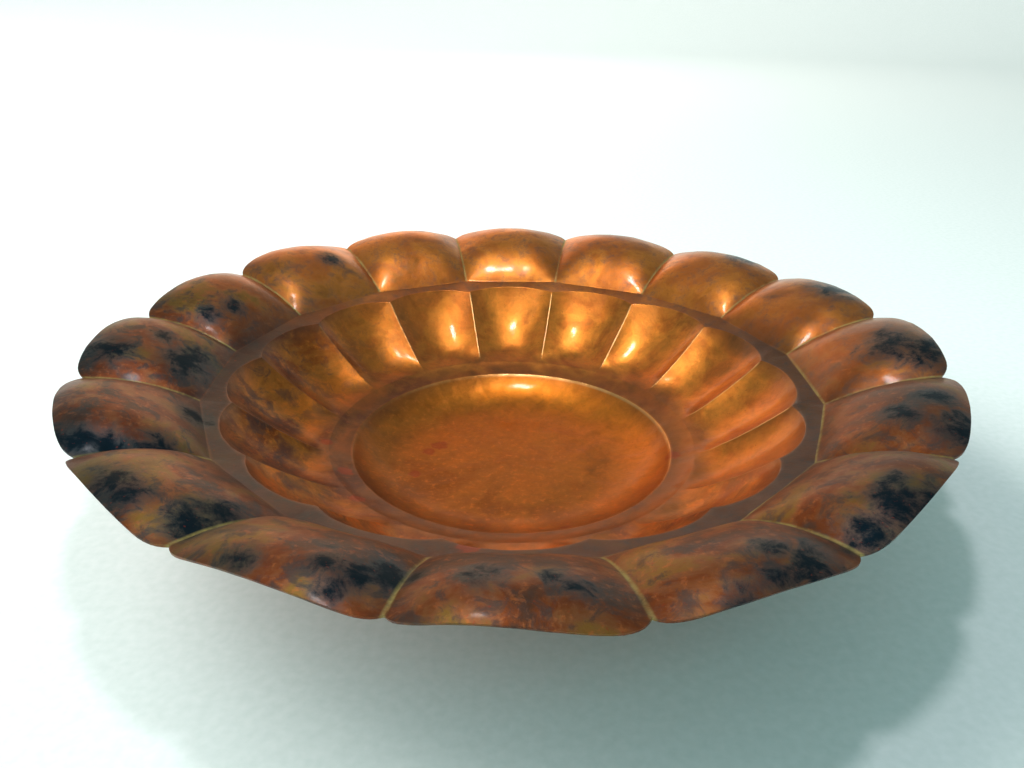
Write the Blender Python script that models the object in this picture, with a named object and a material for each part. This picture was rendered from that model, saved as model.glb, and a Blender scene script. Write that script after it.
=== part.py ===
"""A hammered copper centrepiece bowl with sixteen flutes and sixteen petals.

The bowl is raised from one disc of sheet copper. A strip bent to a ring is
soldered under it as a foot, so that the dished well stays clear of the table.
Lengths are in metres, +Z is up, and the origin is at the centre of the foot,
on the table. Angles turn clockwise, seen from above, from the +Y side.
"""

import math

import bmesh
import bpy

# --- driving dimensions -----------------------------------------------------
SHEET = 0.0012  # thickness of the copper sheet
PETALS = 16  # petals on the rim, and flutes on the wall
NOTCH_RADIUS = 0.200  # from the axis to the notch between two petals
NOTCH_HEIGHT = 0.070  # height of those notches above the table
GAP = 0.0003  # left between pieces that touch

# The profile through a ridge and a groove, as radius and height of the
# upper side.
WELL_FLOOR = (0.200 * NOTCH_RADIUS, 0.0033)
WELL_EDGE = (0.415 * NOTCH_RADIUS, 0.0163)
BAND_EDGE = (0.473 * NOTCH_RADIUS, 0.0185)
RIDGE_TOP = (0.687 * NOTCH_RADIUS, 0.0512)
SHOULDER_EDGE = (0.7605 * NOTCH_RADIUS, 0.0536)
NOTCH = (NOTCH_RADIUS, NOTCH_HEIGHT)

WELL_WALL_POWER = 3.2  # how sharply the well's wall turns up
FLUTE_REACH = 0.0056  # how far a flute cuts out past the ridge tops
FLUTE_DEPTH = 0.0050  # how far its middle lies under its ridges
RIDGE_SAG = 0.0020  # how far a ridge hangs under its own chord
GROOVE_RISE = 0.0030  # how far a groove arches over its own chord
PETAL_SWELL = 0.0062  # height of a petal's pillow over its grooves
PETAL_REACH = 0.0052  # how far a petal's edge stands out past the notches
PETAL_ARCH = 0.0060  # how far a petal's edge arches over the notches
CREASE_SAG = 0.0028  # how far a petal's inner end is cut in, straight between grooves

# Hand work is never quite even. Counted clockwise from the back, these petals
# differ from the others in millimetres: how far the edge arches, how much
# more on its clockwise side than on the other, and how far it reaches out.
UNEVEN = {
    1: (-0.8, 0.0, 0.7),
    5: (1.3, 0.0, 0.2),
    6: (-1.4, -1.3, -0.3),
    7: (2.0, -2.5, -1.0),
    8: (-1.5, -0.4, 0.0),
    9: (-1.2, 4.7, 0.8),
    10: (0.2, 0.9, -0.3),
    11: (1.0, 2.9, 0.0),
    12: (1.4, -2.3, -0.2),
    13: (1.1, 0.9, -0.2),
    14: (1.4, 0.4, -0.7),
    15: (0.8, -3.3, 0.9),
}
# The notch after each of these petals stands higher or lower than the others.
UNEVEN_NOTCHES = {6: 0.8, 8: 1.1, 11: -1.6, 12: -1.2, 13: -0.8, 16: -0.9}
# The whole rim also wavers slowly: how high, and how often in a turn.
RIM_WAVES = ((-0.0013, 2, 0.0), (0.0017, 3, 0.82))

FOOT_RADIUS = 0.0880  # middle of the strip, at its top
FOOT_SPLAY = 0.0022  # how far its lower edge stands out past its top
FOOT_THICKNESS = 0.0016
FOOT_SIDES = 96
FILLET_LEG = 0.0024  # of the solder in the corner inside the foot

# Where the mesh has its points: across one petal, from groove to groove,
# and out along each stretch of the profile.
ACROSS = (-1.0, -0.86, -0.62, -0.32, 0.0, 0.32, 0.62, 0.86)
WELL_STEPS = 5
FLUTE_STEPS = 5
PETAL_STEPS = (0.03, 0.10, 0.24, 0.44, 0.70, 1.0)

COPPER = ("aged_copper", (0.30, 0.13, 0.06, 1.0), 1.0, 0.34)
FOOT_COPPER = ("foot_copper", (0.38, 0.17, 0.08, 1.0), 1.0, 0.38)
SOLDER = ("tin_solder", (0.47, 0.46, 0.43, 1.0), 1.0, 0.45)


def mix(a, b, t):
    """The value a share t of the way from a to b."""
    return a + (b - a) * t


def angle_of(petal, across):
    """The angle of a place across a petal, which runs from -1 to 1."""
    return (petal - 1 + across / 2) * math.tau / PETALS


def rim_lift(petal, across):
    """How far the rim stands over its even height at this place."""
    angle = angle_of(petal, across)
    wave = sum(h * math.cos(n * angle + p) for h, n, p in RIM_WAVES)
    before = UNEVEN_NOTCHES.get((petal - 2) % PETALS + 1, 0.0) / 1000
    after = UNEVEN_NOTCHES.get(petal, 0.0) / 1000
    return wave + mix(before, after, (across + 1) / 2)


def well(share):
    """Radius and height in the well, from its floor's edge to its rim."""
    radius = mix(WELL_FLOOR[0], WELL_EDGE[0], share)
    height = mix(WELL_FLOOR[1], WELL_EDGE[1], share**WELL_WALL_POWER)
    return radius, height


def shoulder_height(radius):
    """Height of the plain shoulder, which falls slightly inwards."""
    share = (radius - RIDGE_TOP[0]) / (SHOULDER_EDGE[0] - RIDGE_TOP[0])
    return mix(RIDGE_TOP[1], SHOULDER_EDGE[1], share)


def blunt_bow(share):
    """A blunt bow: 0 at both ends, 1 in the middle."""
    return 1 - abs(2 * share - 1) ** 2.4


def flute_top(across):
    """Radius and height of a flute's upper end, scalloped between ridges."""
    radius = RIDGE_TOP[0] + FLUTE_REACH * (1 - abs(across) ** 2.4)
    return radius, shoulder_height(radius)


def flute(across, share):
    """Radius and height on a flute, from the band up to the shoulder."""
    top_radius, top_height = flute_top(across)
    radius = mix(BAND_EDGE[0], top_radius, share)
    chord = mix(BAND_EDGE[1], top_height, share)
    bow = blunt_bow(share)
    # A flute is scooped deepest above its middle, and a ridge sags at its own.
    scoop = FLUTE_DEPTH * (1 - across**2) * min(share / 0.3, 1.0) ** 0.6 * bow
    return radius, chord - RIDGE_SAG * bow - scoop


def petal(number, across, share):
    """Radius and height on a petal, from the shoulder out to its edge."""
    more_arch, lean, more_reach = UNEVEN.get(number, (0.0, 0.0, 0.0))
    arch = PETAL_ARCH + (more_arch + lean * across) / 1000
    reach = PETAL_REACH + more_reach / 1000
    outward = reach * share - CREASE_SAG * (1 - share) ** 2
    radius = mix(SHOULDER_EDGE[0], NOTCH[0], share)
    radius += outward * (1 - abs(across) ** (2.0 + 7.0 * share))
    groove = mix(SHOULDER_EDGE[1], NOTCH[1], share)
    groove += GROOVE_RISE * 4 * share * (1 - share)
    swell = arch * share + PETAL_SWELL * blunt_bow(share)
    roundness = 4.0 - 2.0 * share
    height = groove + swell * (1 - abs(across) ** roundness)
    return radius, height + rim_lift(number, across) * share**1.5


def stations(number, across):
    """The upper side from the well's floor to the rim, at one place."""
    rows = [well(i / WELL_STEPS) for i in range(WELL_STEPS + 1)]
    rows.append(BAND_EDGE)
    rows += [flute(across, i / FLUTE_STEPS) for i in range(1, FLUTE_STEPS + 1)]
    rows.append(petal(number, across, 0.0))
    rows += [petal(number, across, share) for share in PETAL_STEPS]
    return rows


def new_object(name, mesh_builder, finish):
    """A named object with a mesh built by a function and its own material."""
    mesh = bpy.data.meshes.new(name)
    work = bmesh.new()
    mesh_builder(work)
    work.to_mesh(mesh)
    work.free()
    mesh.shade_smooth()
    mesh.set_sharp_from_angle(angle=math.radians(22))
    obj = bpy.data.objects.new(name, mesh)
    bpy.context.collection.objects.link(obj)
    slot, colour, metallic, roughness = finish
    material = bpy.data.materials.new(slot)
    material.use_nodes = True
    shader = material.node_tree.nodes["Principled BSDF"]
    shader.inputs["Base Color"].default_value = colour
    shader.inputs["Metallic"].default_value = metallic
    shader.inputs["Roughness"].default_value = roughness
    mesh.materials.append(material)
    return obj


def place(radius, angle, height):
    """A point in space, from its place on the bowl."""
    return radius * math.sin(angle), radius * math.cos(angle), height


def raise_sheet(work):
    """The upper side of the sheet: a fan on the well's floor, then quads."""
    centre = work.verts.new((0.0, 0.0, WELL_FLOOR[1]))
    columns = []
    for number in range(1, PETALS + 1):
        for across in ACROSS:
            angle = angle_of(number, across)
            rows = stations(number, across)
            columns.append([work.verts.new(place(r, angle, h)) for r, h in rows])
    for i, column in enumerate(columns):
        # Clockwise from above is this column, then the next one.
        following = columns[(i + 1) % len(columns)]
        work.faces.new((centre, following[0], column[0]))
        for row in range(len(column) - 1):
            inner = (column[row], following[row])
            outer = (following[row + 1], column[row + 1])
            work.faces.new(inner + outer)


def turn_ring(work, section, sides):
    """A ring with this cross-section, given as radius and height."""
    rings = []
    for i in range(sides):
        angle = math.tau * i / sides
        rings.append([work.verts.new(place(r, angle, h)) for r, h in section])
    for i, ring in enumerate(rings):
        following = rings[(i + 1) % sides]
        for a in range(len(section)):
            b = (a + 1) % len(section)
            work.faces.new((ring[a], ring[b], following[b], following[a]))
    bmesh.ops.recalc_face_normals(work, faces=work.faces)


def band_underside(radius):
    """Height of the sheet's lower side under the plain band."""
    slope = (BAND_EDGE[1] - WELL_EDGE[1]) / (BAND_EDGE[0] - WELL_EDGE[0])
    upper = WELL_EDGE[1] + slope * (radius - WELL_EDGE[0])
    return upper - SHEET * math.hypot(1.0, slope)


def foot_section():
    """The foot's strip: a slightly splayed wall with a level lower edge."""
    half = FOOT_THICKNESS / 2
    inner, outer = FOOT_RADIUS - half, FOOT_RADIUS + half
    return (
        (inner, band_underside(inner) - GAP),
        (outer, band_underside(outer) - GAP),
        (outer + FOOT_SPLAY, 0.0),
        (inner + FOOT_SPLAY, 0.0),
    )


def fillet_section():
    """The solder in the corner between the foot's inner side and the band."""
    corner = FOOT_RADIUS - FOOT_THICKNESS / 2 - GAP
    top = band_underside(corner) - GAP
    tip = corner - FILLET_LEG
    waist = FILLET_LEG * 0.38
    return (
        (corner, top),
        (corner, top - FILLET_LEG),
        (corner - waist, top - waist),
        (tip, band_underside(tip) - GAP),
    )


def build_shell():
    """The raised bowl: its upper side, given the thickness of the sheet."""
    shell = new_object("bowl_shell", raise_sheet, COPPER)
    thickness = shell.modifiers.new("sheet", "SOLIDIFY")
    thickness.thickness = SHEET
    thickness.offset = -1.0
    thickness.use_even_offset = True
    return shell


def build_foot():
    """The soldered foot ring, and the solder that holds it."""
    new_object(
        "foot_ring", lambda work: turn_ring(work, foot_section(), FOOT_SIDES), FOOT_COPPER
    )
    new_object(
        "solder_fillet", lambda work: turn_ring(work, fillet_section(), FOOT_SIDES), SOLDER
    )


for old in list(bpy.data.objects):
    bpy.data.objects.remove(old)
build_shell()
build_foot()
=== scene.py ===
# %% [markdown]
# # A hammered copper bowl with sixteen flutes and sixteen petals
#
# The real bowl is raised from one disc of sheet copper about 1.2 mm thick. A
# smith sinks a round well in the middle, drives sixteen hollow flutes up the
# wall, leaves a plain shoulder above them, and pushes the rim out into sixteen
# puffed petals with a sharp groove between each two. Years of air and handling
# have turned the copper brown, purple and blue-black in patches. A strip bent to
# a ring is soldered underneath as a foot.
#
# This notebook loads the measured CAD part as a fixed frame, and then builds
# the looks around it: the bowl, the foot, the solder, and their materials.

# %% Load the frame
import math

import bpy
from mathutils import Matrix, Vector


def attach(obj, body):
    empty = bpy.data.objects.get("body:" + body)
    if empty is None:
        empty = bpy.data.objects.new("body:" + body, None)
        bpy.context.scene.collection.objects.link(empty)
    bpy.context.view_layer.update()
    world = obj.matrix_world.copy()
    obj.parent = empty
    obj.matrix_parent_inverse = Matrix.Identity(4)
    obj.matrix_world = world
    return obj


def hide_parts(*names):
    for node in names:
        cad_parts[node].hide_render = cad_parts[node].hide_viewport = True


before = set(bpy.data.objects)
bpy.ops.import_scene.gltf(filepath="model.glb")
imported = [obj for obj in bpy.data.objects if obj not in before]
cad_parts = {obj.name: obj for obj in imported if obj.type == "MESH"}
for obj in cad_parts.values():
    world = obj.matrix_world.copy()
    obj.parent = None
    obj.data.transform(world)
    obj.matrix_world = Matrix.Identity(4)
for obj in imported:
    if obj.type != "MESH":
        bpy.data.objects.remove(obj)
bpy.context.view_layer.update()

# %% [markdown]
# ## One function for nodes, one for colours
#
# Geometry and materials are both made of nodes. Every node is added by the same
# small function: it takes the kind of node, its settings and its inputs. An
# input that is another node, or one of its sockets, becomes a link. Colours are
# written as the hex values that a paint program shows, so one more function
# turns them into the linear light that the renderer adds up. Some settings come
# back on many nodes, so they get short names.

# %% Add a node


def add(tree, kind, settings=None, inputs=(), ramp=()):
    """One node with its settings, its inputs set or linked, and its ramp."""
    node = tree.nodes.new(kind)
    for name, value in (settings or {}).items():
        setattr(node, name, value)
    pairs = inputs.items() if isinstance(inputs, dict) else enumerate(inputs)
    for key, value in pairs:
        if isinstance(value, bpy.types.Node):
            value = value.outputs[0]
        if isinstance(value, bpy.types.NodeSocket):
            tree.links.new(value, node.inputs[key])
        elif value is not None:
            node.inputs[key].default_value = value
    if ramp:
        stops = node.color_ramp.elements
        while len(stops) < len(ramp):
            stops.new(1.0)
        for stop, (place, value) in zip(stops, ramp):
            stop.position = place
            stop.color = value if isinstance(value, tuple) else (value, value, value, 1.0)
    return node


def colour(hex_value):
    """A colour written as #rrggbb, in linear light."""
    channels = [int(hex_value[i:i + 2], 16) / 255 for i in (1, 3, 5)]
    linear = [c / 12.92 if c <= 0.04045 else ((c + 0.055) / 1.055) ** 2.4 for c in channels]
    return (*linear, 1.0)


MM = 0.001
TIMES = {"operation": "MULTIPLY"}
TIMES_PLUS = {"operation": "MULTIPLY_ADD"}  # the first input times the second, plus the third
SMOOTH = {"interpolation_type": "SMOOTHSTEP"}
RGBA = {"data_type": "RGBA"}
NUMBER = {"data_type": "FLOAT"}
print("mid grey is", round(colour("#808080")[0], 4), "in linear light")

# %% [markdown]
# ## The bowl's profile
#
# A smith checks a bowl like this with two templates: one held along a groove
# between two petals, and one held over the crown of a petal. Everything between
# is a smooth swell from one to the other. The same is done here. For each row of
# the sheet, from the centre of the well out to the rim, the functions below give
# its radius and height at the groove and at the crown, and how the swell runs
# between them. The sizes are the CAD part's own, in metres.

# %% Sizes of the sheet
SHEET = 0.0012
PETALS = 16
NOTCH = (0.200, 0.070)  # radius and height of the notch between two petals
WELL_FLOOR = (0.200 * NOTCH[0], 0.0033)
WELL_EDGE = (0.415 * NOTCH[0], 0.0163)
BAND_EDGE = (0.473 * NOTCH[0], 0.0185)
RIDGE_TOP = (0.687 * NOTCH[0], 0.0512)
SHOULDER_EDGE = (0.7605 * NOTCH[0], 0.0536)
FLUTE_REACH = 0.0056
FLUTE_DEPTH = 0.0050
RIDGE_SAG = 0.0020
GROOVE_RISE = 0.0030
PETAL_SWELL = 0.0062
PETAL_REACH = 0.0052
PETAL_ARCH = 0.0060
CREASE_SAG = 0.0028  # how far a petal's inner end is cut in, straight between grooves
CORNER_EASE = 0.0090  # how far the corner between the band and the wall is rounded
CORNER_TURN = 0.5  # how much steeper the wall is than the band
WELL_WALL_POWER = 3.2  # how sharply the well's wall turns up
BLUNT = 2.4  # power of a blunt bow, flatter in its middle than a parabola
FLOOR_ZONE = 0.48  # where the well's floor ends and its wall starts, in zones
print("sheet", SHEET / MM, "mm, notch radius", NOTCH[0] / MM, "mm, height", NOTCH[1] / MM, "mm")

# %% Rows of the profile


def mix(a, b, share):
    """The value a share of the way from a to b."""
    return a + (b - a) * share


def between(a, b, share):
    """A place, as radius and height, a share of the way from a to b."""
    return mix(a[0], b[0], share), mix(a[1], b[1], share)


def eased(steps):
    """Shares from 0 to 1 that crowd together at both ends, for crisp edges."""
    return [(1 - math.cos(math.pi * i / steps)) / 2 for i in range(1, steps + 1)]


def bow(share):
    """A blunt bow: 0 at both ends, 1 in the middle."""
    return 1 - abs(2 * share - 1) ** BLUNT


def eased_corner(distance):
    """Extra height that rounds the corner between the band and the wall."""
    return CORNER_TURN * max(CORNER_EASE - abs(distance), 0.0) ** 2 / (4 * CORNER_EASE)


def flute_row(share):
    """A flute's ridge and its middle, which is scooped under the ridge."""
    slope = (SHOULDER_EDGE[1] - RIDGE_TOP[1]) / (SHOULDER_EDGE[0] - RIDGE_TOP[0])
    top = (RIDGE_TOP[0] + FLUTE_REACH, RIDGE_TOP[1] + slope * FLUTE_REACH)
    ridge, middle = between(BAND_EDGE, RIDGE_TOP, share), between(BAND_EDGE, top, share)
    sag = RIDGE_SAG * bow(share) - eased_corner(ridge[0] - BAND_EDGE[0])
    scoop = FLUTE_DEPTH * bow(share) * min(share / 0.3, 1.0) ** 0.6
    return (ridge[0], ridge[1] - sag), (middle[0], middle[1] - sag - scoop), top


def petal_row(share):
    """A petal's groove, and its crown, which swells up like a pillow."""
    groove = between(SHOULDER_EDGE, NOTCH, share)
    groove = (groove[0], groove[1] + GROOVE_RISE * 4 * share * (1 - share))
    swell = PETAL_ARCH * share + PETAL_SWELL * bow(share)
    cut_in = CREASE_SAG * (1 - share) ** 2
    return groove, (groove[0] + PETAL_REACH * share - cut_in, groove[1] + swell)


# A row's zone says where on the bowl it is, for the materials: the well's floor
# and wall run from 0 to 1, the band to 2, the flutes to 3, the shoulder to 4 and
# the petals to 5.
rows = []  # groove, crown, power of the plan, power of the swell, petal share, zone


def add_row(groove, crown, plan=BLUNT, swell=2.0, petal_share=0.0, zone=0.0):
    """One row of the sheet, as a template for the node tree below."""
    rows.append((groove, crown, plan, swell, petal_share, zone))


for step in range(7):
    place = between((0.0, WELL_FLOOR[1]), WELL_FLOOR, step / 6)
    add_row(place, place, zone=FLOOR_ZONE * step / 6)
for share in eased(14):
    rise = WELL_EDGE[1] - WELL_FLOOR[1]
    height = WELL_FLOOR[1] + rise * share**WELL_WALL_POWER
    place = (mix(WELL_FLOOR[0], WELL_EDGE[0], share), height)
    add_row(place, place, zone=FLOOR_ZONE + (1 - FLOOR_ZONE) * share)
for share in eased(8):
    place = between(WELL_EDGE, BAND_EDGE, share)
    place = (place[0], place[1] + eased_corner(place[0] - BAND_EDGE[0]))
    add_row(place, place, zone=1 + share)
for share in eased(30):
    ridge, middle, _ = flute_row(share)
    add_row(ridge, middle, zone=2 + share)
_, _, flute_top = flute_row(1.0)
crease_middle = (SHOULDER_EDGE[0] - CREASE_SAG, SHOULDER_EDGE[1])
for share in eased(10):
    place = between(RIDGE_TOP, SHOULDER_EDGE, share)
    add_row(place, between(flute_top, crease_middle, share), zone=3 + share)
for share in eased(30):
    groove, crown = petal_row(share)
    add_row(groove, crown, 2.0 + 7.0 * share, 4.0 - 2.0 * share, share, 4 + share)
print(len(rows), "rows from the centre to the rim")

# %% [markdown]
# ## Hand work is never quite even
#
# No two petals match. Counted clockwise from the back, some arch higher, lean to
# one side or reach out further than the others, and some notches stand a little
# high or low. The differences are written down in millimetres, like a smith's
# notes, and the blue-black stains are noted in the same way: on which petal,
# how far across it from -1 to 1, how far out along it, and how wide. A few red
# spots inside the shoulder are noted by their distance from the axis instead.

# %% Differences between petals
UNEVEN = {  # petal: arch, lean, reach
    1: (-0.8, 0.0, 0.7), 5: (1.3, 0.0, 0.2), 6: (-1.4, -1.3, -0.3), 7: (2.0, -2.5, -1.0),
    8: (-1.5, -0.4, 0.0), 9: (-1.2, 4.7, 0.8), 10: (0.2, 0.9, -0.3), 11: (1.0, 2.9, 0.0),
    12: (1.4, -2.3, -0.2), 13: (1.1, 0.9, -0.2), 14: (1.4, 0.4, -0.7), 15: (0.8, -3.3, 0.9),
}
UNEVEN_NOTCHES = {6: 0.8, 8: 1.1, 11: -1.6, 12: -1.2, 13: -0.8, 16: -0.9}
RIM_WAVES = ((-0.0013, 2, 0.0), (0.0017, 3, 0.82))  # height, times in a turn, start
print(len(UNEVEN), "petals differ,", len(UNEVEN_NOTCHES), "notches differ")

# %% Stains, noted by place
STAINS = [  # petal, across, share of the petal's length, width in mm
    (3, 0.3, 0.9, 16), (4, 0.2, 0.9, 20), (5, 0.3, 0.65, 22), (5, 0.5, 0.9, 20),
    (6, -0.1, 0.75, 12), (6, 0.3, 0.55, 12), (6, 0.5, 0.95, 20), (7, 0.1, 0.75, 10),
    (7, 0.3, 0.85, 22), (7, 0.1, 1.0, 14), (7, 0.8, 0.9, 16), (8, -0.4, 0.92, 20),
    (8, 0.0, 0.95, 10), (8, -0.2, 0.7, 10), (8, 0.3, 0.98, 10), (9, -0.5, 0.7, 10),
    (9, -0.3, 0.6, 8), (9, 0.3, 0.65, 12), (9, 0.9, 0.6, 8), (10, -0.4, 0.7, 10),
    (10, 0.2, 0.9, 10), (10, -0.7, 0.7, 12), (10, -0.9, 0.6, 14), (10, -0.6, 0.9, 10),
    (11, 0.0, 0.85, 14), (11, -0.3, 0.85, 12), (11, -0.9, 0.75, 16), (11, -0.85, 0.5, 14),
    (12, -0.8, 0.95, 18), (12, -0.9, 0.7, 14), (12, -0.95, 0.4, 14), (12, 0.2, 0.05, 14),
    (13, -0.5, 0.8, 18), (13, -0.2, 0.2, 22), (13, 0.1, 0.45, 10), (14, -0.7, 0.4, 10),
    (14, -0.2, 0.3, 10), (15, 0.4, 0.5, 12),
]


def petal_place(petal, across, share):
    """A point on a petal's upper side, close enough to place a stain."""
    groove, crown = petal_row(share)
    puff = 1 - abs(across) ** 2.5
    radius, height = mix(groove[0], crown[0], puff), mix(groove[1], crown[1], puff)
    angle = (petal - 1 + across / 2) * math.tau / PETALS
    return radius * math.sin(angle), radius * math.cos(angle), height


ROUGE = [  # petal, across, radius in mm, width in mm
    (14, 0.0, 43, 9), (14, -0.9, 46, 7), (12, 0.7, 52, 7), (5, 0.9, 84, 8), (12, 0.0, 89, 8),
    (11, 0.4, 94, 7), (9, 0.6, 142, 9), (13, -0.5, 96, 6), (8, 0.2, 70, 6),
]


def inside_place(petal, across, radius):
    """A point on the upper side inside the shoulder, at a radius in mm."""
    radius *= MM
    angle = (petal - 1 + across / 2) * math.tau / PETALS
    rings = [row[0] for row in rows]
    height = min(rings, key=lambda ring: abs(ring[0] - radius))[1]
    return radius * math.sin(angle), radius * math.cos(angle), height


print(len(STAINS), "stains and", len(ROUGE), "red spots noted")

# %% Templates as point clouds


def points(name, places, **values):
    """A mesh of loose points that carry named values, for the tree to read."""
    mesh = bpy.data.meshes.new(name)
    mesh.from_pydata(places, [], [])
    for label, column in values.items():
        vector = isinstance(column[0], tuple)
        layer = mesh.attributes.new(label, "FLOAT_VECTOR" if vector else "FLOAT", "POINT")
        for item, value in zip(layer.data, column):
            if vector:
                item.vector = value
            else:
                item.value = value
    obj = bpy.data.objects.new(name, mesh)
    bpy.context.collection.objects.link(obj)
    return obj


def notch_after(petal):
    """How much higher the notch after this petal stands, in metres."""
    return UNEVEN_NOTCHES.get((petal - 1) % PETALS + 1, 0.0) * MM


profile = points(
    "profile_rows", [(0, 0, 0)] * len(rows),
    groove=[(r[0][0], 0.0, r[0][1]) for r in rows],
    crown=[(r[1][0], 0.0, r[1][1]) for r in rows],
    lobe=[(r[2], r[3], r[4]) for r in rows],
    zone=[r[5] for r in rows],
)
numbers = range(1, PETALS + 1)
tally = points(
    "petal_tally", [(0, 0, 0)] * PETALS,
    more=[tuple(v * MM for v in UNEVEN.get(n, (0, 0, 0))) for n in numbers],
    notches=[(notch_after(n - 1), notch_after(n), 0.0) for n in numbers],
)
spots = points(
    "stain_spots", [petal_place(*s[:3]) for s in STAINS], width=[s[3] * MM for s in STAINS]
)
rouge = points(
    "rouge_spots", [inside_place(*s[:3]) for s in ROUGE], width=[s[3] * MM for s in ROUGE]
)
print("templates:", profile.name, tally.name, spots.name, rouge.name)

# %% [markdown]
# ## The node tree that raises the sheet
#
# The sheet could be modelled by hand from a disc, but its shape follows a rule:
# the same profile, sixteen times round. Geometry Nodes suit that well. The tree
# below starts with a flat grid. Its rows become rings of the bowl and its columns
# become lines from the middle to the rim. Each point looks up its row's template
# and its petal's notes, and moves to its place. The columns crowd together near
# the grooves and ridges, so those stay crisp with a moderate number of faces.

# %% Start the tree


def new_tree(name, sockets):
    """A geometry tree with named inputs. Gives the tree and its input node."""
    tree = bpy.data.node_groups.new(name, "GeometryNodeTree")
    for label, kind in sockets:
        tree.interface.new_socket(label, in_out="INPUT", socket_type=kind)
    tree.interface.new_socket("Mesh", in_out="OUTPUT", socket_type="NodeSocketGeometry")
    return tree, tree.nodes.new("NodeGroupInput").outputs


sheet_tree, given = new_tree("raised_sheet", [
    ("Profile rows", "NodeSocketObject"), ("Petal tally", "NodeSocketObject"),
    ("Stain spots", "NodeSocketObject"), ("Rouge spots", "NodeSocketObject"),
    ("Petals", "NodeSocketInt"), ("Sheet thickness", "NodeSocketFloat"),
    ("Columns per petal", "NodeSocketInt"), ("Rows", "NodeSocketInt"),
    ("Hammer mark width", "NodeSocketFloat"), ("Hammer mark depth", "NodeSocketFloat"),
    ("Dent width", "NodeSocketFloat"), ("Dent depth", "NodeSocketFloat"),
    ("Material", "NodeSocketMaterial"),
])
t = sheet_tree
print("inputs:", [socket.name for socket in given if socket.name])

# %% Lay out the grid, and find each point's row, petal and place across it
columns = add(t, "ShaderNodeMath", TIMES_PLUS, [given["Petals"], given["Columns per petal"], 1.0])
grid = add(t, "GeometryNodeMeshGrid", None, [1.0, 1.0, columns, given["Rows"]])
index = add(t, "GeometryNodeInputIndex")
column = add(t, "FunctionNodeIntegerMath", {"operation": "DIVIDE_FLOOR"}, [index, given["Rows"]])
row = add(t, "FunctionNodeIntegerMath", {"operation": "MODULO"}, [index, given["Rows"]])
turn = add(t, "ShaderNodeMath", {"operation": "DIVIDE"}, [column, given["Columns per petal"]])
turn = add(t, "ShaderNodeMath", {"operation": "ADD"}, [turn, 0.5])
petal = add(t, "ShaderNodeMath", {"operation": "FLOOR"}, [turn])
petal_number = add(t, "FunctionNodeIntegerMath", {"operation": "MODULO"}, [petal, given["Petals"]])
part_of_petal = add(t, "ShaderNodeMath", {"operation": "FRACT"}, [turn])
even = add(t, "ShaderNodeMath", TIMES_PLUS, [part_of_petal, 2.0, -1.0])
# across = even * (1.45 - 0.45 * even * even): the columns crowd at the grooves.
square = add(t, "ShaderNodeMath", TIMES, [even, even])
crowd = add(t, "ShaderNodeMath", TIMES_PLUS, [square, -0.45, 1.45])
across = add(t, "ShaderNodeMath", TIMES, [even, crowd])
side = add(t, "ShaderNodeMath", {"operation": "ABSOLUTE"}, [across])
half_turned = add(t, "ShaderNodeMath", TIMES_PLUS, [across, 0.5, petal])
share_of_turn = add(t, "ShaderNodeMath", {"operation": "DIVIDE"}, [half_turned, given["Petals"]])
angle = add(t, "ShaderNodeMath", TIMES, [share_of_turn, math.tau])
print(len(t.nodes), "nodes so far")

# %% Look up the templates


def lookup(cloud, label, where, kind="FLOAT_VECTOR"):
    """A named value of a point cloud, at the point with this number."""
    cloud_info = add(t, "GeometryNodeObjectInfo", None, [given[cloud]])
    value = add(t, "GeometryNodeInputNamedAttribute", {"data_type": kind}, {"Name": label})
    return add(t, "GeometryNodeSampleIndex", {"data_type": kind, "clamp": True}, {
        "Geometry": cloud_info.outputs["Geometry"], "Value": value, "Index": where,
    })


groove = add(t, "ShaderNodeSeparateXYZ", None, [lookup("Profile rows", "groove", row)])
crown = add(t, "ShaderNodeSeparateXYZ", None, [lookup("Profile rows", "crown", row)])
lobe = add(t, "ShaderNodeSeparateXYZ", None, [lookup("Profile rows", "lobe", row)])
zone = lookup("Profile rows", "zone", row, "FLOAT")
more = add(t, "ShaderNodeSeparateXYZ", None, [lookup("Petal tally", "more", petal_number)])
notches = add(t, "ShaderNodeSeparateXYZ", None, [lookup("Petal tally", "notches", petal_number)])
print(len(t.nodes), "nodes with the lookups")

# %% Radius: between groove and crown, and a little more reach on some petals
steep = add(t, "ShaderNodeMath", {"operation": "POWER"}, [side, lobe.outputs["X"]])
plan = add(t, "ShaderNodeMath", {"operation": "SUBTRACT"}, [1.0, steep])
radius = add(t, "ShaderNodeMix", None, {0: plan, 2: groove.outputs["X"], 3: crown.outputs["X"]})
reach = add(t, "ShaderNodeMath", TIMES, [more.outputs["Z"], plan])
radius = add(t, "ShaderNodeMath", TIMES_PLUS, [reach, lobe.outputs["Z"], radius])

# %% Height: the swell between groove and crown, and each petal's own arch
steep = add(t, "ShaderNodeMath", {"operation": "POWER"}, [side, lobe.outputs["Y"]])
swell = add(t, "ShaderNodeMath", {"operation": "SUBTRACT"}, [1.0, steep])
height = add(t, "ShaderNodeMix", None, {0: swell, 2: groove.outputs["Z"], 3: crown.outputs["Z"]})
arch = add(t, "ShaderNodeMath", TIMES_PLUS, [more.outputs["Y"], across, more.outputs["X"]])
arch = add(t, "ShaderNodeMath", TIMES, [arch, swell])
height = add(t, "ShaderNodeMath", TIMES_PLUS, [arch, lobe.outputs["Z"], height])

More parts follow.
